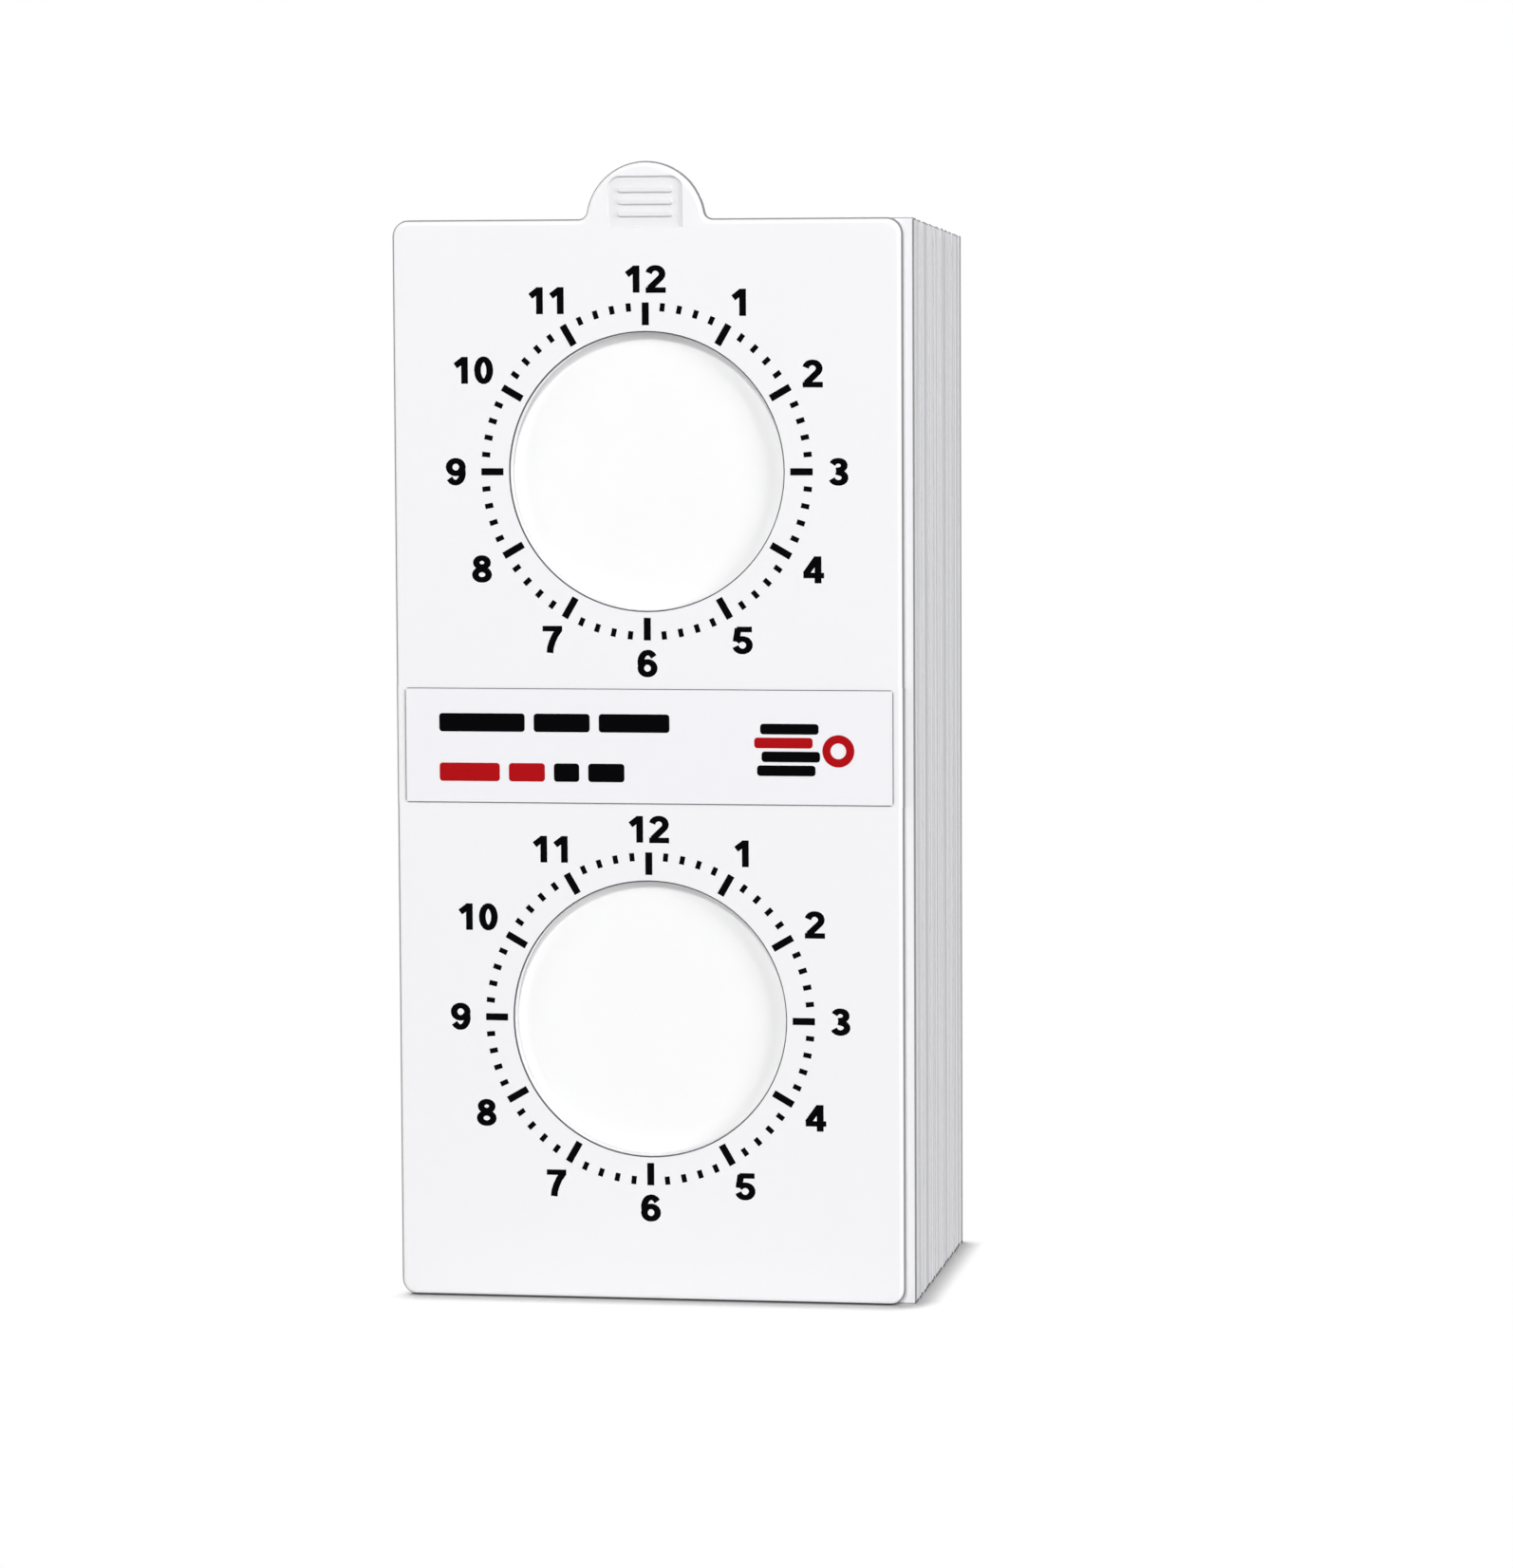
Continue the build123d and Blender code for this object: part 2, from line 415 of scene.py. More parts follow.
six_strokes = [bow(0.375, 0.325, 0.255, 0.235, 0, 360), bow(0.39, 0.55, 0.27, 0.36, 33, 215)]
numeral_strokes = {
    "0": [bow(0.37, 0.5, 0.235, 0.41, 0, 360)],
    "1": [[(0.43, 0.0), (0.43, 1.0)], [(0.08, 0.665), (0.39, 0.90)]],
    "2": [bow(0.37, 0.69, 0.255, 0.22, 172, -38) + [(0.13, 0.14)], [(0.0, 0.09), (0.76, 0.09)]],
    "3": [bow(0.355, 0.735, 0.225, 0.175, 165, -75) + [(0.27, 0.55)],
          [(0.27, 0.50)] + bow(0.36, 0.28, 0.25, 0.19, 75, -168)],
    "4": [[(0.55, 0.0), (0.55, 1.0)], [(0.0, 0.29), (0.78, 0.29)], [(0.52, 0.94), (0.08, 0.33)]],
    "5": [[(0.15, 0.91), (0.72, 0.91)], [(0.20, 0.95), (0.12, 0.45)],
          bow(0.36, 0.325, 0.265, 0.235, 145, -168)],
    "6": six_strokes,
    "7": [[(0.0, 0.91), (0.75, 0.91)],
          [(0.64, 0.88), (0.48, 0.66), (0.37, 0.42), (0.30, 0.20), (0.28, 0.0)]],
    "8": [bow(0.375, 0.735, 0.215, 0.17, 0, 360), bow(0.375, 0.285, 0.255, 0.195, 0, 360)],
    "9": [[(numeral_width - x, 1 - z) for x, z in stroke] for stroke in six_strokes],
}


def draw_number(curve, text, turn):
    """Add a number's strokes to a flat curve, upright and clear of the ticks at this turn from the top."""
    width = (numeral_advance * (len(text) - 1) + numeral_width) * numeral_height
    sideways = abs(math.sin(turn))
    reach = math.hypot(sideways * width / 2, math.cos(turn) * numeral_height / 2)
    gap_above, gap_beside = numeral_clearance
    radius = hour_ticks[1] + gap_above + (gap_beside - gap_above) * sideways + reach
    for place, digit in enumerate(text):
        left = radius * math.sin(turn) - width / 2 + numeral_advance * place * numeral_height
        foot = radius * math.cos(turn) - numeral_height / 2
        for stroke in numeral_strokes[digit]:
            closed = math.dist(stroke[0], stroke[-1]) < touch
            points = stroke[:-1] if closed else stroke
            spline = curve.splines.new("POLY")
            spline.points.add(len(points) - 1)
            spline.use_cyclic_u = closed
            for i, (across, up) in enumerate(points):
                before = points[i - 1] if closed or i > 0 else points[i]
                after = points[(i + 1) % len(points)] if closed or i + 1 < len(points) else points[i]
                steepness = abs(after[1] - before[1]) / math.dist(before, after)
                spline.points[i].co = (left + across * numeral_height, foot + up * numeral_height, 0, 1)
                spline.points[i].radius = 1 - numeral_flat_thinning * (1 - steepness)


def dial_pattern():
    """One whole dial about the origin, standing in the XZ plane, as a mesh to copy."""
    curve = bpy.data.curves.new("dial_numbers", "CURVE")
    curve.dimensions = "3D"
    curve.bevel_depth = numeral_stroke * numeral_height / 2
    curve.bevel_resolution = 0
    curve.use_fill_caps = True
    for hour in range(1, 13):
        draw_number(curve, str(hour), math.radians(30 * hour))
    drawing = bpy.data.objects.new("dial_numbers", curve)
    numbers = bpy.data.meshes.new_from_object(drawing)
    bpy.data.objects.remove(drawing)
    bm = bmesh.new()
    bm.from_mesh(numbers)
    bmesh.ops.scale(bm, vec=(1, 1, ink_thickness / (numeral_stroke * numeral_height)), verts=bm.verts)
    bmesh.ops.transform(bm, matrix=upright, verts=bm.verts)
    for tick in range(dial_tick_count):
        inner, outer, width = minute_ticks if tick % 5 else hour_ticks
        turn = Matrix.Rotation(math.tau * tick / dial_tick_count, 4, "Y")
        place = Matrix.Translation((0, 0, (inner + outer) / 2))
        bmesh.ops.create_cube(bm, size=1, matrix=turn @ place @ Matrix.Diagonal(
            (width, ink_thickness, outer - inner, 1)))
    bmesh.ops.recalc_face_normals(bm, faces=bm.faces[:])
    pattern = bpy.data.meshes.new("dial_pattern")
    bm.to_mesh(pattern)
    bm.free()
    return pattern


def print_dials(name, body, spots):
    """Dials with their middles at these (x, y, z) spots on a printed face."""
    bm = bmesh.new()
    for x, y, z in spots:
        old = len(bm.verts)
        bm.from_mesh(one_dial)
        bm.verts.ensure_lookup_table()
        bmesh.ops.translate(bm, vec=(x, y - ink_lift, z), verts=bm.verts[old:])
    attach(make_piece(name, bm, "black_ink", ink), body)


def ink_material(name, tone, mottle):
    """A dull film of ink."""
    material = grained_material(name, tone, mottle, *ink_finish)
    material.node_tree.nodes["Principled BSDF"].inputs["Specular IOR Level"].default_value = ink_gloss
    return material


one_dial = dial_pattern()
ink = ink_material("black_print", ink_black, black_mottle)
for flip in flip_names:
    card_low, card_high = box_mm(f"{flip}_card")
    card_middle = (card_low.x + card_high.x) / 2
    print_dials(f"{flip}_dials", flip, [(card_middle, card_low.y, z) for z in window_heights])

# Window films: thin clear polyester, welded over the windows on the back of each flip. On the block the
# film is a little milky, and on the cover it is clear.
film_tone = (0.97, 0.97, 0.97, 1.0)
film_finish = (0.02, 900, 0.08, 0.08, 0.03)
block_film_haze = 0.25
cover_film_haze = 0.03


def film_material(name, haze):
    """Glossy film that hides this share of what is behind it."""
    material = grained_material(name, film_tone, *film_finish)
    material.node_tree.nodes["Principled BSDF"].inputs["Alpha"].default_value = haze
    return material


block_film = film_material("block_film", block_film_haze)
cover_film = film_material("cover_film", cover_film_haze)
for flip in flip_names:
    frame["nodes"][f"{flip}_film"].material_slots[0].material = block_film
for leaf_film in ("cover_lower_film", "cover_upper_film"):
    frame["nodes"][leaf_film].material_slots[0].material = cover_film

# Backing card: one plain sheet of thin white card behind the cover flip, cut to the block's size. It is
# the white that shows through both windows and as a narrow strip beside the cover.
backing_arris = 0.09
sharp_turn = 1.0
backing_margin = 1.1
backing_margin_fade = 0.3
backing_white = (0.98, 0.98, 0.982, 1.0)
# Painted shade on the open margin beside the cover
backing_margin_shade = (0.91, 0.905, 0.93, 1.0)
backing_low, backing_high = box_mm("backing_card")


def backing_material():
    """Coated white card, with painted shade along the margin that the cover leaves open."""
    material = grained_material("backing_card_face", backing_white, *card_finish)
    tree = material.node_tree
    place = axes(tree, tree.nodes.new("ShaderNodeTexCoord").outputs["Object"])
    # Painted shade: the open margin beside the cover is greyer
    margin_start = backing_high.x - backing_margin
    margin_shade = share_between(tree, place["X"], (margin_start - backing_margin_fade) / 1000, margin_start / 1000)
    tone = mixed(tree, "RGBA", margin_shade, backing_white, backing_margin_shade)
    tree.links.new(tone, tree.nodes["Group"].inputs["Tone"])
    return material


backing_bm = punched_sheet(backing_low, backing_high, [])
backing_rim = []
for backing_edge in backing_bm.edges:
    if backing_edge.calc_face_angle(0) > sharp_turn:
        if all(vert.co.y < backing_low.y + touch for vert in backing_edge.verts):
            backing_rim.append(backing_edge)
bmesh.ops.bevel(backing_bm, geom=backing_rim, offset=backing_arris, offset_type="OFFSET", segments=1,
                profile=0.5, affect="EDGES", material=-1)
show_cut_edges(backing_bm)
backing = make_piece("backing_sheet", backing_bm, "white_card", backing_material(), card_edge)
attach(backing, "backing")
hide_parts("backing_card")

# Cover leaves: two panels of satin white plastic, moulded with rounded front edges and a round window each.
# The upper one has a finger tab on its top edge, with a sunk panel of three grip ribs.
corner_radius = 1.8
edge_round = 0.7
edge_segments = 7
window_edge_round = 0.15
tab_radius = 6.6
tab_rise = 6.2
tab_flare = 0.9
panel_width = 8.1
panel_height = 5.4
panel_depth = 0.3
panel_corner_radius = 1.3
panel_edge_round = 0.1
panel_to_tip = 1.7
rib_width = 6.0
rib_height = 0.6
rib_pitch = 1.3
rib_edge_round = 0.15
rib_edge_segments = 4
rib_root = 0.06
plastic_white = (0.91, 0.905, 0.925, 1.0)
# Painted highlight along the rounded front edges
plastic_painted_highlight = (0.97, 0.97, 0.98, 1.0)
plastic_back_white = (0.86, 0.855, 0.87, 1.0)
panel_white = (0.835, 0.83, 0.85, 1.0)
# Painted shade: a grey line round the outer part of each rounded edge, and a grey side wall
plastic_edge_shade = (0.26, 0.26, 0.27, 1.0)
plastic_side_shade = (0.78, 0.78, 0.79, 1.0)
# Painted contact shadow along the foot
plastic_foot_shadow = (0.04, 0.04, 0.045, 1.0)
leaf_foot_shadow_heights = (0.34, 0.20)
# Painted shade: a dark line round each window's rim
window_lip_shade = (0.07, 0.07, 0.074, 1.0)
# How deep into the leaf the painted highlight, the painted shade line and the shaded side start and end
painted_highlight_depths = (0.03, 0.19)
edge_shade_depths = (0.26, 0.58)
side_shade_depths = (0.76, 1.37)
# Painted shade: the grey line on the left edge spreads this many times wider
left_edge_shade_spread = 1.8
satin_finish = (0.02, 1500, 0.4, 0.12, 0.05)
lip_finish = (0.1, 1500, 0.5, 0.12, 0.05)
least_panel_area = 1000
smooth_angle = 40
# Places in a leaf's list of materials, after the leaf's own
lip_place, wall_place, panel_place = 1, 2, 3


def outline_face(bm, points, y):
    """One flat face through these (x, z) points."""
    return bm.faces.new([bm.verts.new((x, y, z)) for x, z in points])


def open_rim(bm, y):
    """The edges at this depth that still lack a face on one side or both."""
    found = []
    for edge in bm.edges:
        flat = all(abs(vert.co.y - y) < touch for vert in edge.verts)
        if flat and len(edge.link_faces) < 2:
            found.append(edge)
    return found


def moulded_panel(points, front, back, fold_height):
    """A plate with this outline, rounded along its front edges apart from the one at the fold."""
    bm = bmesh.new()
    outline_face(bm, points, back)
    raised = bmesh.ops.extrude_face_region(bm, geom=bm.faces[:])
    moved = [part for part in raised["geom"] if isinstance(part, bmesh.types.BMVert)]
    bmesh.ops.translate(bm, vec=(0, front - back, 0), verts=moved)
    bmesh.ops.recalc_face_normals(bm, faces=bm.faces[:])
    rim = []
    for edge in bm.edges:
        at_front = all(abs(vert.co.y - front) < touch for vert in edge.verts)
        at_fold = all(abs(vert.co.z - fold_height) < touch for vert in edge.verts)
        if at_front and not at_fold:
            rim.append(edge)
    bmesh.ops.bevel(bm, geom=rim, offset=edge_round, offset_type="OFFSET", segments=edge_segments,
                    profile=0.5, affect="EDGES", material=-1)
    bm.normal_update()
    flats = []
    for face in bm.faces:
        if abs(face.normal.y) > squarely and face.calc_area() > least_panel_area:
            flats.append(face)
    bmesh.ops.delete(bm, geom=flats, context="FACES_ONLY")
    return bm


def window_wall(bm, x, z, front, back):
    """The wall of a round window, with a small round at the front, spun about the window's middle."""
    lip = bow(window_radius + window_edge_round, front + window_edge_round,
              window_edge_round, window_edge_round, 270, 180, 30)
    profile = [bm.verts.new((x + radius, depth, z)) for radius, depth in lip + [(window_radius, back)]]
    runs = [bm.edges.new(pair) for pair in zip(profile, profile[1:])]
    old_faces = set(bm.faces)
    bmesh.ops.spin(bm, geom=profile + runs, cent=(x, 0, z), axis=(0, 1, 0), angle=math.tau,
                   steps=window_segments, use_merge=True)
    # The lip's faces take the painted shade line round the rim
    for face in set(bm.faces) - old_faces:
        on_lip = face.calc_center_median().y < front + window_edge_round
        face.material_index = lip_place if on_lip else wall_place


def sunk_panel(bm, x, z, front):
    """The walls and floor of the tab's sunk panel, with a soft upper edge."""
    old_faces = set(bm.faces)
    half_width, half_height = panel_width / 2, panel_height / 2
    inset = half_width - panel_corner_radius
    top = z + half_height - panel_corner_radius
    points = [(x - half_width, z - half_height), (x + half_width, z - half_height)]
    points += bow(x + inset, top, panel_corner_radius, panel_corner_radius, 0, 90, 15)
    points += bow(x - inset, top, panel_corner_radius, panel_corner_radius, 90, 180, 15)
    rim = outline_face(bm, points, front + panel_depth).edges[:]
    flare = Matrix.Diagonal((1 + panel_edge_round / half_width, 1, 1 + panel_edge_round / half_height, 1))
    about = Matrix.Translation((x, 0, z))
    for rise, spread in ((panel_depth - panel_edge_round, Matrix()), (panel_edge_round, flare)):
        wall = bmesh.ops.extrude_edge_only(bm, edges=rim)["geom"]
        rim = [part for part in wall if isinstance(part, bmesh.types.BMEdge)]
        lifted = [part for part in wall if isinstance(part, bmesh.types.BMVert)]
        bmesh.ops.translate(bm, vec=(0, -rise, 0), verts=lifted)
        bmesh.ops.transform(bm, matrix=about @ spread @ about.inverted(), verts=lifted)
    for face in set(bm.faces) - old_faces:
        face.material_index = panel_place


def grip_rib(bm, x, z, front):
    """One round-ended rib that stands on the panel's floor, level with the leaf's face."""
    old_faces = set(bm.faces)
    end = rib_height / 2
    reach = rib_width / 2 - end
    points = bow(x + reach, z, end, end, -90, 90, 22.5) + bow(x - reach, z, end, end, 90, 270, 22.5)
    foot = outline_face(bm, points, front + panel_depth + rib_root)
    raised = bmesh.ops.extrude_face_region(bm, geom=[foot])
    moved = [part for part in raised["geom"] if isinstance(part, bmesh.types.BMVert)]
    crest = [part for part in raised["geom"] if isinstance(part, bmesh.types.BMEdge)]
    bmesh.ops.translate(bm, vec=(0, -panel_depth - rib_root, 0), verts=moved)
    bmesh.ops.bevel(bm, geom=crest, offset=rib_edge_round, offset_type="OFFSET", segments=rib_edge_segments,
                    profile=0.5, affect="EDGES", material=-1)
    for face in set(bm.faces) - old_faces:
        face.material_index = panel_place


def close_leaf(bm, front, back):
    """Fill the front and back round their openings."""
    for depth in (front, back):
        bmesh.ops.triangle_fill(bm, use_beauty=True, use_dissolve=False, edges=open_rim(bm, depth))
    bmesh.ops.recalc_face_normals(bm, faces=bm.faces[:])


def soften(piece):
    """Smooth shading over the rounds, with the flat faces kept flat."""
    piece.data.shade_smooth()
    piece.data.set_sharp_from_angle(angle=math.radians(smooth_angle))
    weighted = piece.modifiers.new("flat_faces_stay_flat", "WEIGHTED_NORMAL")
    weighted.keep_sharp = True
    weighted.weight = 100


def leaf_material():
    """Satin white plastic with a painted highlight on its rounded edges, painted shade beyond it and on its
    sides, spread wider on the left, a painted contact shadow at its foot, and greyer behind.
    """
    material = grained_material("satin_white_leaf", plastic_white, *satin_finish)
    tree = material.node_tree
    place = axes(tree, tree.nodes.new("ShaderNodeTexCoord").outputs["Object"])
    # The depth into the leaf picks the painted highlight, then the painted shade, from the ramp
    depth = share_between(tree, place["Y"], leaf_front / 1000, leaf_back / 1000)
    # Painted shade: on the left edge the ramp is stretched, so the grey line there is wider
    spread = share_between(tree, place["X"], lower_low.x / 1000, (lower_low.x + edge_round) / 1000,
                           low=left_edge_shade_spread)
    tones = tree.nodes.new("ShaderNodeValToRGB")
    ramp = tones.color_ramp.elements
    ramp[0].color = plastic_white
    ramp[1].color = plastic_back_white
    for depths, colour in ((painted_highlight_depths, plastic_painted_highlight), (edge_shade_depths, plastic_edge_shade),
                           (side_shade_depths, plastic_side_shade)):
        for reach in depths:
            ramp.new(reach / (leaf_back - leaf_front)).color = colour
    tree.links.new(worked_out(tree, "MULTIPLY", depth, spread), tones.inputs["Fac"])
    # Painted contact shadow along the foot
    foot = share_between(tree, place["Z"], *[height / 1000 for height in leaf_foot_shadow_heights])
    foot_shadowed = mixed(tree, "RGBA", foot, tones.outputs["Color"], plastic_foot_shadow)
    tree.links.new(foot_shadowed, tree.nodes["Group"].inputs["Tone"])
    return material


lower_low, lower_high = box_mm("cover_lower_leaf")
leaf_front, leaf_back = lower_low.y, lower_high.y - film_clearance
cover_x = (lower_low.x + lower_high.x) / 2
plastic = grained_material("satin_white_plastic", plastic_white, *satin_finish)
leaf_plastic = leaf_material()
window_lip = grained_material("window_lip", window_lip_shade, *lip_finish)
tab_panel = grained_material("tab_panel", panel_white, *satin_finish)
leaf_materials = (leaf_plastic, window_lip, plastic, tab_panel)
corner = (corner_radius, corner_radius)
lower_points = [(lower_high.x, lower_high.z), (lower_low.x, lower_high.z)]
lower_points += bow(lower_low.x + corner_radius, lower_low.z + corner_radius, *corner, 180, 270, 10)
lower_points += bow(lower_high.x - corner_radius, lower_low.z + corner_radius, *corner, 270, 360, 10)
lower_bm = moulded_panel(lower_points, leaf_front, leaf_back, lower_high.z)
window_wall(lower_bm, cover_x, window_heights[0], leaf_front, leaf_back)
close_leaf(lower_bm, leaf_front, leaf_back)
lower_leaf = make_piece("cover_lower_panel", lower_bm, "moulded_white", *leaf_materials)
soften(lower_leaf)
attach(lower_leaf, "cover_lower")
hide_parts("cover_lower_leaf")
print_dials("cover_lower_dial", "cover_lower", [(cover_x, leaf_front, window_heights[0])])

upper_low, upper_high = box_mm("cover_upper_leaf")
leaf_top = upper_high.z - tab_rise
tab_centre = upper_high.z - tab_radius
flare_centre = leaf_top + tab_flare
flare_offset = math.sqrt((tab_radius + tab_flare) ** 2 - (flare_centre - tab_centre) ** 2)
flare_turn = math.degrees(math.asin((flare_centre - tab_centre) / (tab_radius + tab_flare)))
upper_points = [(upper_low.x, upper_low.z), (upper_high.x, upper_low.z)]
upper_points += bow(upper_high.x - corner_radius, leaf_top - corner_radius, *corner, 0, 90, 10)
upper_points += bow(cover_x + flare_offset, flare_centre, tab_flare, tab_flare, 270, 180 + flare_turn, 12)
upper_points += bow(cover_x, tab_centre, tab_radius, tab_radius, flare_turn, 180 - flare_turn, 5)[1:-1]
upper_points += bow(cover_x - flare_offset, flare_centre, tab_flare, tab_flare, -flare_turn, -90, 12)
upper_points += bow(upper_low.x + corner_radius, leaf_top - corner_radius, *corner, 90, 180, 10)
panel_centre = upper_high.z - panel_to_tip - panel_height / 2
upper_bm = moulded_panel(upper_points, leaf_front, leaf_back, upper_low.z)
window_wall(upper_bm, cover_x, window_heights[1], leaf_front, leaf_back)
sunk_panel(upper_bm, cover_x, panel_centre, leaf_front)
close_leaf(upper_bm, leaf_front, leaf_back)
for step in (-1, 0, 1):
    grip_rib(upper_bm, cover_x, panel_centre + step * rib_pitch, leaf_front)
bmesh.ops.recalc_face_normals(upper_bm, faces=upper_bm.faces[:])
upper_leaf = make_piece("cover_upper_panel", upper_bm, "moulded_white", *leaf_materials)
soften(upper_leaf)
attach(upper_leaf, "cover_upper")
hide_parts("cover_upper_leaf")
print_dials("cover_upper_dial", "cover_upper", [(cover_x, leaf_front, window_heights[1])])

# Fold web: the thin band of the same plastic between the leaves, level with their faces. It is one
# moulding with them, and bends at a groove along the middle of its back.
web_edge_round = 0.65
web_edge_segments = 10
groove_width = 0.4
groove_depth = 0.55
bend_reach = 1.6
bend_row = 0.2
straight = 0.99
side_turn = 0.05
# Places in the web's list of materials, after the plain front
side_place, back_place = 1, 2
web_low, web_high = box_mm("cover_fold_web")


def solid_box(low, high):
    """A closed box between two corners."""
    bm = bmesh.new()
    middle, size = (low + high) / 2, high - low
    bmesh.ops.create_cube(bm, size=1, matrix=Matrix.Translation(middle) @ Matrix.Diagonal(size.to_4d()))
    return bm


def add_bend_rows(bm):
    """Cut rows across the fold, so that a strip can bend there."""
    rows = round(2 * bend_reach / bend_row)
    for row in range(rows + 1):
        height = fold_z - bend_reach + row * bend_row
        everything = bm.verts[:] + bm.edges[:] + bm.faces[:]
        bmesh.ops.bisect_plane(bm, geom=everything, plane_co=(0, 0, height), plane_no=(0, 0, 1),
                               dist=cut_reach)


def bend_with_cover(piece):
    """Bake the piece's place into its vertices."""
    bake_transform(piece)


def edges_along(bm, axis, y):
    """The edges at this depth that run along one axis, 0 for X or 2 for Z."""
    found = []
    for edge in bm.edges:
        run = edge.verts[1].co - edge.verts[0].co
        flat = all(abs(vert.co.y - y) < touch for vert in edge.verts)
        if flat and abs(run[axis]) > straight * run.length:
            found.append(edge)
    return found


web_bm = solid_box(web_low, web_high)
bmesh.ops.bevel(web_bm, geom=edges_along(web_bm, 2, web_low.y), offset=web_edge_round,
                offset_type="OFFSET", segments=web_edge_segments, profile=0.5, affect="EDGES", material=-1)
add_bend_rows(web_bm)
groove_ends = (web_low.x + web_edge_round, web_high.x - web_edge_round)
for groove_end in groove_ends:
    web_parts = web_bm.verts[:] + web_bm.edges[:] + web_bm.faces[:]
    bmesh.ops.bisect_plane(web_bm, geom=web_parts, plane_co=(groove_end, 0, 0), plane_no=(1, 0, 0),
                           dist=cut_reach)
web_bm.normal_update()
groove_faces = []
for web_face in web_bm.faces:
    web_spot = web_face.calc_center_median()
    in_groove = abs(web_spot.z - fold_z) < groove_width / 2 and groove_ends[0] < web_spot.x < groove_ends[1]
    if web_face.normal.y > squarely and in_groove:
        groove_faces.append(web_face)
groove = bmesh.ops.extrude_face_region(web_bm, geom=groove_faces)
groove_floor = [part for part in groove["geom"] if isinstance(part, bmesh.types.BMVert)]
bmesh.ops.translate(web_bm, vec=(0, -groove_depth, 0), verts=groove_floor)
bmesh.ops.recalc_face_normals(web_bm, faces=web_bm.faces[:])
web_bm.normal_update()
# The sides take the leaf's material, with its painted highlight and painted shade
for web_face in web_bm.faces:
    if abs(web_face.normal.x) > side_turn:
        web_face.material_index = side_place
    elif web_face.normal.y > squarely:
        web_face.material_index = back_place
web_back = grained_material("satin_white_back", plastic_back_white, *satin_finish)
web = make_piece("cover_fold_strip", web_bm, "moulded_white", plastic, leaf_plastic, web_back)
bend_with_cover(web)
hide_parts("cover_fold_web")

# Label: a smooth white paper sticker with a thin grey border, stuck on the fold web. Its print is plain
# bars in black and red, and a small sign of stacked coins.
label_corner_radius = 0.4
label_border = 0.1
label_finish = (0.02, 3000, 0.42, 0.2, 0.06)
label_white = (0.90, 0.893, 0.926, 1.0)
label_grey = (0.17, 0.17, 0.18, 1.0)
ink_red = (0.47, 0.007, 0.010, 1.0)
red_mottle = 0.2
bar_height = 2.0
bar_corner = 0.35
bar_corner_share = 0.45
corner_segments = 4
upper_row = 2.5
lower_row = -2.9
black_bars = ((-23.1, -13.6, upper_row), (-12.6, -6.4, upper_row), (-5.4, 2.4, upper_row),
              (-10.4, -7.6, lower_row), (-6.6, -2.6, lower_row))
red_bars = ((-23.1, -16.4, lower_row), (-15.4, -11.4, lower_row))
label_low, label_high = box_mm("cover_label")


def label_material():
    """White label paper with its border line drawn on the label's own map."""
    material = grained_material("label_paper", label_white, *label_finish)
    tree = material.node_tree
    label_place = tree.nodes.new("ShaderNodeUVMap")
    label_place.uv_map = "label_map"
    place = axes(tree, label_place.outputs["UV"])
    past = []
    for axis, length in (("X", label_high.x - label_low.x), ("Y", label_high.z - label_low.z)):
        from_middle = worked_out(tree, "ABSOLUTE", worked_out(tree, "SUBTRACT", place[axis], 0.5))
        past.append(worked_out(tree, "GREATER_THAN", from_middle, 0.5 - label_border / length))
    on_border = worked_out(tree, "MAXIMUM", *past)
    tone = mixed(tree, "RGBA", on_border, tree.nodes["Group"].outputs["Color"], label_grey)
    tree.links.new(tone, tree.nodes["Principled BSDF"].inputs["Base Color"])
    return material


def add_bar(bm, left, right, middle, height, y):
    """A printed bar with rounded ends, centred on this height above the fold."""
    size = Matrix.Diagonal((right - left, ink_thickness, height, 1))
    spot = Matrix.Translation((cover_x + (left + right) / 2, y - ink_lift, fold_z + middle))
    made = bmesh.ops.create_cube(bm, size=1, matrix=spot @ size)["verts"]
    corners = []
    for edge in {edge for vert in made for edge in vert.link_edges}:
        run = edge.verts[1].co - edge.verts[0].co
        if abs(run.y) > straight * run.length:
            corners.append(edge)
    bmesh.ops.bevel(bm, geom=corners, offset=min(bar_corner, height * bar_corner_share),
                    offset_type="OFFSET", segments=corner_segments, profile=0.5, affect="EDGES", material=-1)


label_bm = solid_box(label_low, label_high)
label_corners = [edge for edge in label_bm.edges if abs(edge.verts[0].co.y - edge.verts[1].co.y) > touch]
bmesh.ops.bevel(label_bm, geom=label_corners, offset=label_corner_radius, offset_type="OFFSET",
                segments=corner_segments, profile=0.5, affect="EDGES", material=-1)
add_bend_rows(label_bm)
label_map = label_bm.loops.layers.uv.new("label_map")
for label_face in label_bm.faces:
    for loop in label_face.loops:
        spot = loop.vert.co - label_low
        size = label_high - label_low
        loop[label_map].uv = (spot.x / size.x, spot.z / size.z)
label = make_piece("cover_label_sheet", label_bm, "label_paper", label_material())
bend_with_cover(label)
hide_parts("cover_label")

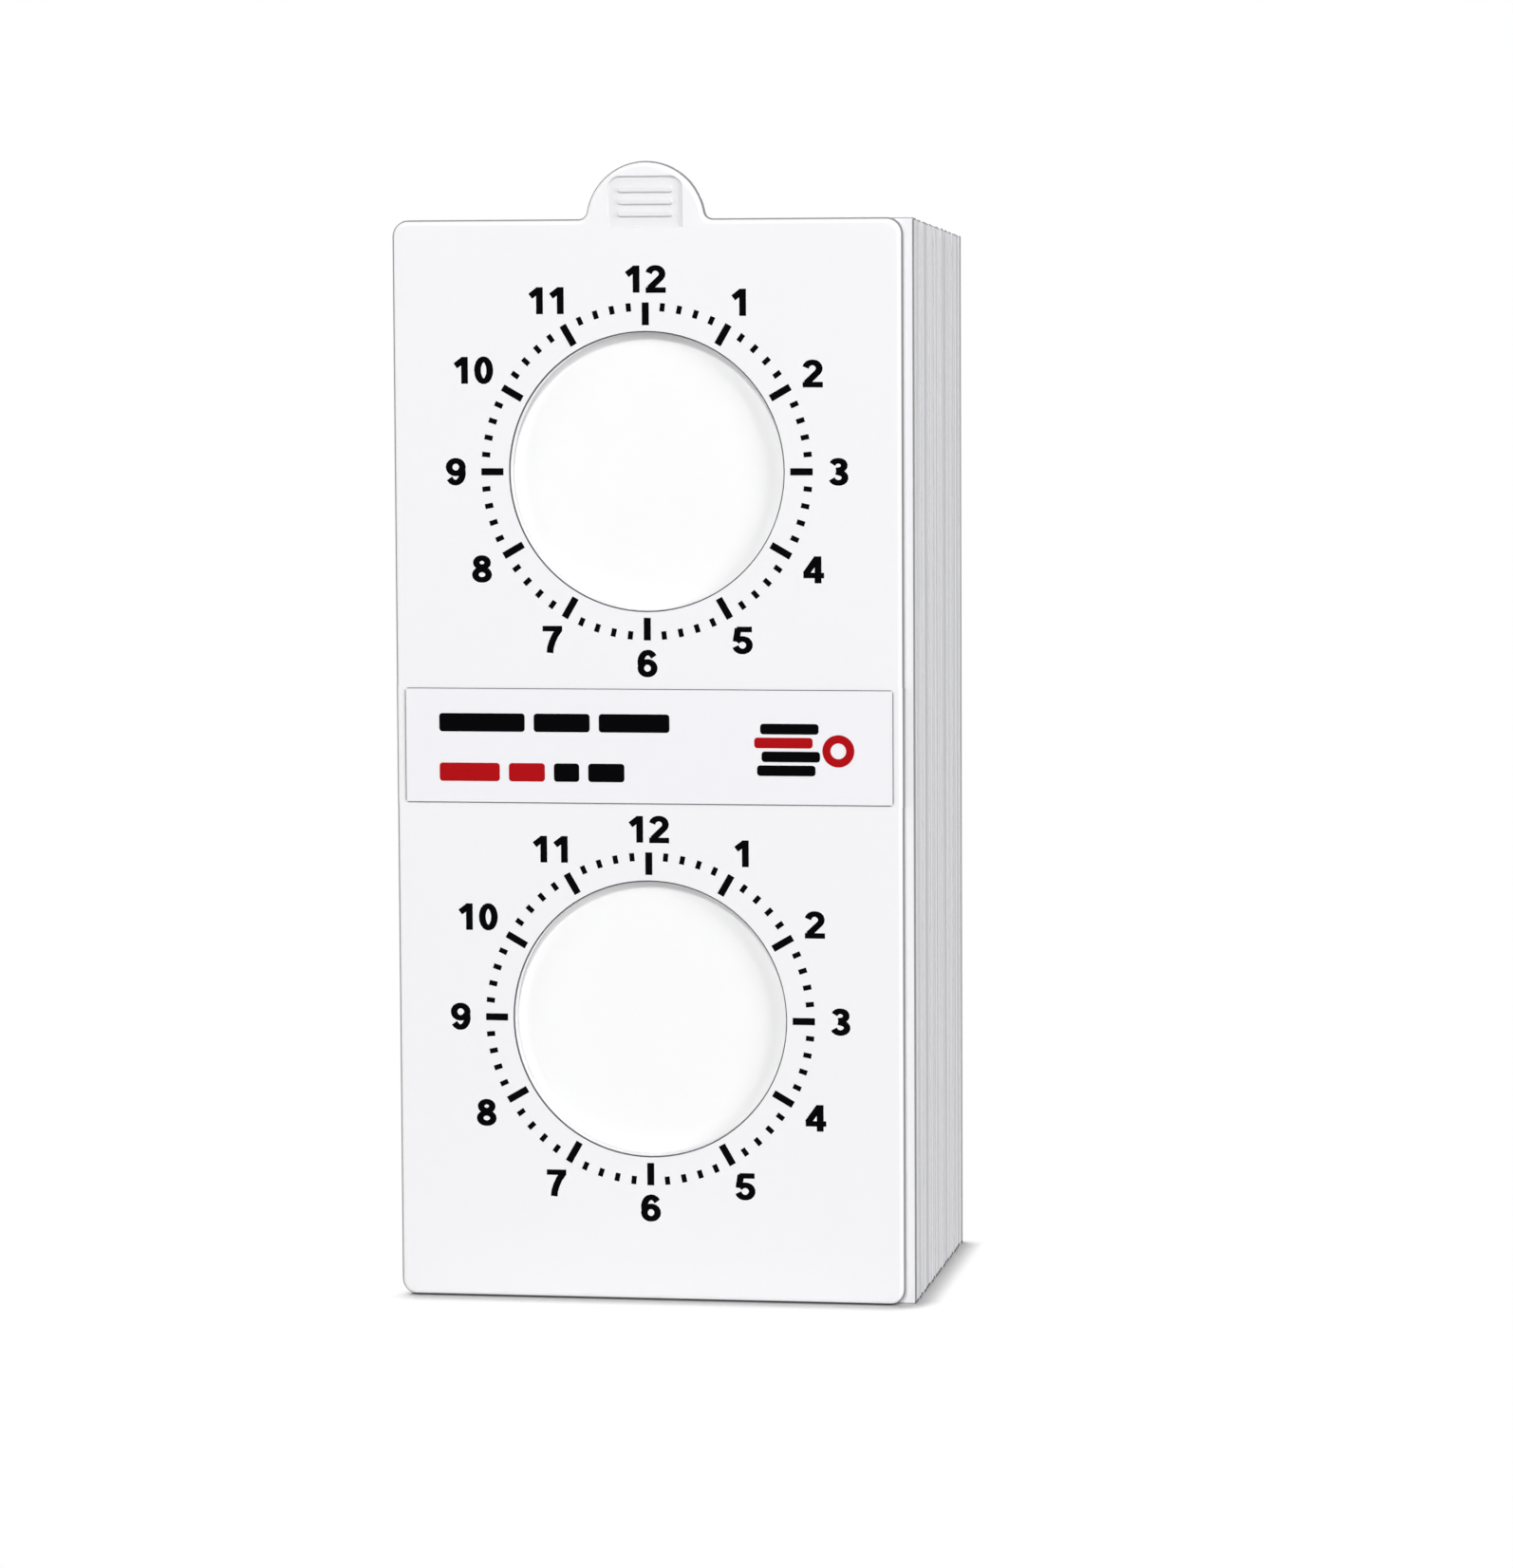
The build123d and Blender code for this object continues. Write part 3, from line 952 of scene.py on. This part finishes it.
red_ink = ink_material("red_print", ink_red, red_mottle)
coin_left, coin_right = 12.0, 18.4
coin_height = 1.15
coin_pitch = 1.5
coin_shift = (0.0, 0.5, -0.3, 0.35)
coin_foot = -2.5
red_coin = 2
token_centre = (20.9, -0.35)
token_radius = 1.75
token_hole = 0.85
token_segments = 40
black_bm = bmesh.new()
red_bm = bmesh.new()
for left, right, row in black_bars:
    add_bar(black_bm, left, right, row, bar_height, label_low.y)
for left, right, row in red_bars:
    add_bar(red_bm, left, right, row, bar_height, label_low.y)
for layer, shift in enumerate(coin_shift):
    coin_bm = red_bm if layer == red_coin else black_bm
    add_bar(coin_bm, coin_left + shift, coin_right + shift, coin_foot + layer * coin_pitch, coin_height,
            label_low.y)
token_spot = Matrix.Translation((cover_x + token_centre[0], label_low.y - ink_lift - ink_thickness / 2,
                                 fold_z + token_centre[1])) @ upright
token_loops = []
for radius in (token_radius, token_hole):
    token_ring = bmesh.ops.create_circle(red_bm, cap_ends=False, radius=radius, segments=token_segments,
                                         matrix=token_spot)
    token_loops += {edge for vert in token_ring["verts"] for edge in vert.link_edges}
token_faces = bmesh.ops.bridge_loops(red_bm, edges=token_loops)["faces"]
token_back = bmesh.ops.extrude_face_region(red_bm, geom=token_faces)
token_moved = [part for part in token_back["geom"] if isinstance(part, bmesh.types.BMVert)]
bmesh.ops.translate(red_bm, vec=(0, ink_thickness, 0), verts=token_moved)
for print_name, print_bm, print_slot, print_ink in (
        ("label_black_print", black_bm, "black_ink", ink), ("label_red_print", red_bm, "red_ink", red_ink)):
    add_bend_rows(print_bm)
    bmesh.ops.recalc_face_normals(print_bm, faces=print_bm.faces[:])
    bend_with_cover(make_piece(print_name, print_bm, print_slot, print_ink))

# Floor: a plain white studio floor that runs back out of sight. It looks white to the camera and keeps
# the soft shadow close to whatever stands on it, which falls a little to the right.
floor_half = 3.0
floor_seen = (0.66, 0.66, 0.66, 1.0)
floor_bounce = (0.65, 0.65, 0.65, 1.0)
floor_shadow_reach = 0.003
floor_shadow_lean = Vector((-0.5, 0.5, 0.7)).normalized()
floor_shadow_levels = (0.5, 0.93)


def in_sight(tree):
    """One for what the camera, a gloss or a clear film shows, and zero for light that bounces."""
    ray = tree.nodes.new("ShaderNodeLightPath").outputs
    seen = ray["Is Camera Ray"]
    for kind in ("Is Glossy Ray", "Is Transmission Ray"):
        seen = worked_out(tree, "MAXIMUM", seen, ray[kind])
    return seen


floor_bm = bmesh.new()
bmesh.ops.create_grid(floor_bm, x_segments=1, y_segments=1, size=floor_half)
floor_mesh = bpy.data.meshes.new("floor")
floor_bm.to_mesh(floor_mesh)
floor_bm.free()
floor = bpy.data.objects.new("floor", floor_mesh)
bpy.context.scene.collection.objects.link(floor)
floor_material = bpy.data.materials.new("floor_white")
floor_material.use_nodes = True
floor_tree = floor_material.node_tree
floor_shader = floor_tree.nodes["Principled BSDF"]
floor_shader.inputs["Roughness"].default_value = 0.9
floor_shader.inputs["Specular IOR Level"].default_value = 0.0
floor_in_sight = in_sight(floor_tree)
floor_tone = mixed(floor_tree, "RGBA", floor_in_sight, floor_bounce, floor_seen)
floor_tree.links.new(floor_tone, floor_shader.inputs["Base Color"])
floor_lean = floor_tree.nodes.new("ShaderNodeCombineXYZ")
for floor_axis, floor_value in zip("XYZ", floor_shadow_lean):
    floor_lean.inputs[floor_axis].default_value = floor_value
floor_open = floor_tree.nodes.new("ShaderNodeAmbientOcclusion")
floor_open.inputs["Distance"].default_value = floor_shadow_reach
floor_tree.links.new(floor_lean.outputs["Vector"], floor_open.inputs["Normal"])
floor_far = share_between(floor_tree, floor_open.outputs["AO"], *floor_shadow_levels)
floor_plain = floor_tree.nodes.new("ShaderNodeEmission")
floor_mix = floor_tree.nodes.new("ShaderNodeMixShader")
feed(floor_tree, floor_mix.inputs["Fac"], worked_out(floor_tree, "MULTIPLY", floor_far, floor_in_sight))
floor_tree.links.new(floor_shader.outputs["BSDF"], floor_mix.inputs[1])
floor_tree.links.new(floor_plain.outputs["Emission"], floor_mix.inputs[2])
floor_tree.links.new(floor_mix.outputs["Shader"], floor_tree.nodes["Material Output"].inputs["Surface"])
floor_mesh.materials.append(floor_material)

# Studio: a white room that the camera and the gloss see at full strength, and a weak even light from it.
# One lamp from above in front throws the window shadows, and soft boxes fill the sides.
room_light = 0.245
aim = (cad_box[0] + cad_box[1]) / 2
lamps = (
    ("key_lamp", (0.15, -3.0, 1.7), 0.5, 47.0),
    ("right_box", (2.5, -1.4, 0.7), 1.2, 36.5),
    ("left_box", (-2.2, -1.2, 0.6), 1.2, 12.0),
    ("top_box", (0.0, -0.1, 1.6), 0.9, 1.0),
    ("back_box", (-0.1, 2.6, 0.36), 0.7, 30.0),
)
for lamp_name, lamp_place, lamp_size, lamp_power in lamps:
    lamp_data = bpy.data.lights.new(lamp_name, "AREA")
    lamp_data.size = lamp_size
    lamp_data.energy = lamp_power
    lamp = bpy.data.objects.new(lamp_name, lamp_data)
    lamp.location = lamp_place
    lamp.rotation_euler = (aim - lamp.location).to_track_quat("-Z", "Y").to_euler()
    bpy.context.scene.collection.objects.link(lamp)

room = bpy.data.worlds.new("white_room")
room.use_nodes = True
room_tree = room.node_tree
room_background = room_tree.nodes["Background"]
room_background.inputs["Color"].default_value = (1, 1, 1, 1)
room_level = share_between(room_tree, in_sight(room_tree), 0.0, 1.0, low=room_light)
room_tree.links.new(room_level, room_background.inputs["Strength"])
bpy.context.scene.world = room
bpy.context.scene.view_settings.view_transform = "Standard"

# Camera: a little to the right of the pack and above its middle, turned back towards it, with a long lens.
# Its lens is shifted, so that the front keeps its upright edges while the side still shows.
camera_place = (0.09546, -0.44107, 0.09103)
camera_pitch = 3.227
camera_yaw = 6.284
camera_lens = 91.58
camera_shift = (-0.22, -0.06)
camera_data = bpy.data.cameras.new("camera")
camera_data.lens = camera_lens
camera_data.shift_x, camera_data.shift_y = camera_shift
camera_data.clip_start = 0.01
camera = bpy.data.objects.new("camera", camera_data)
camera.location = camera_place
camera.rotation_euler = (math.radians(90 - camera_pitch), 0, math.radians(camera_yaw))
bpy.context.scene.collection.objects.link(camera)
bpy.context.scene.camera = camera
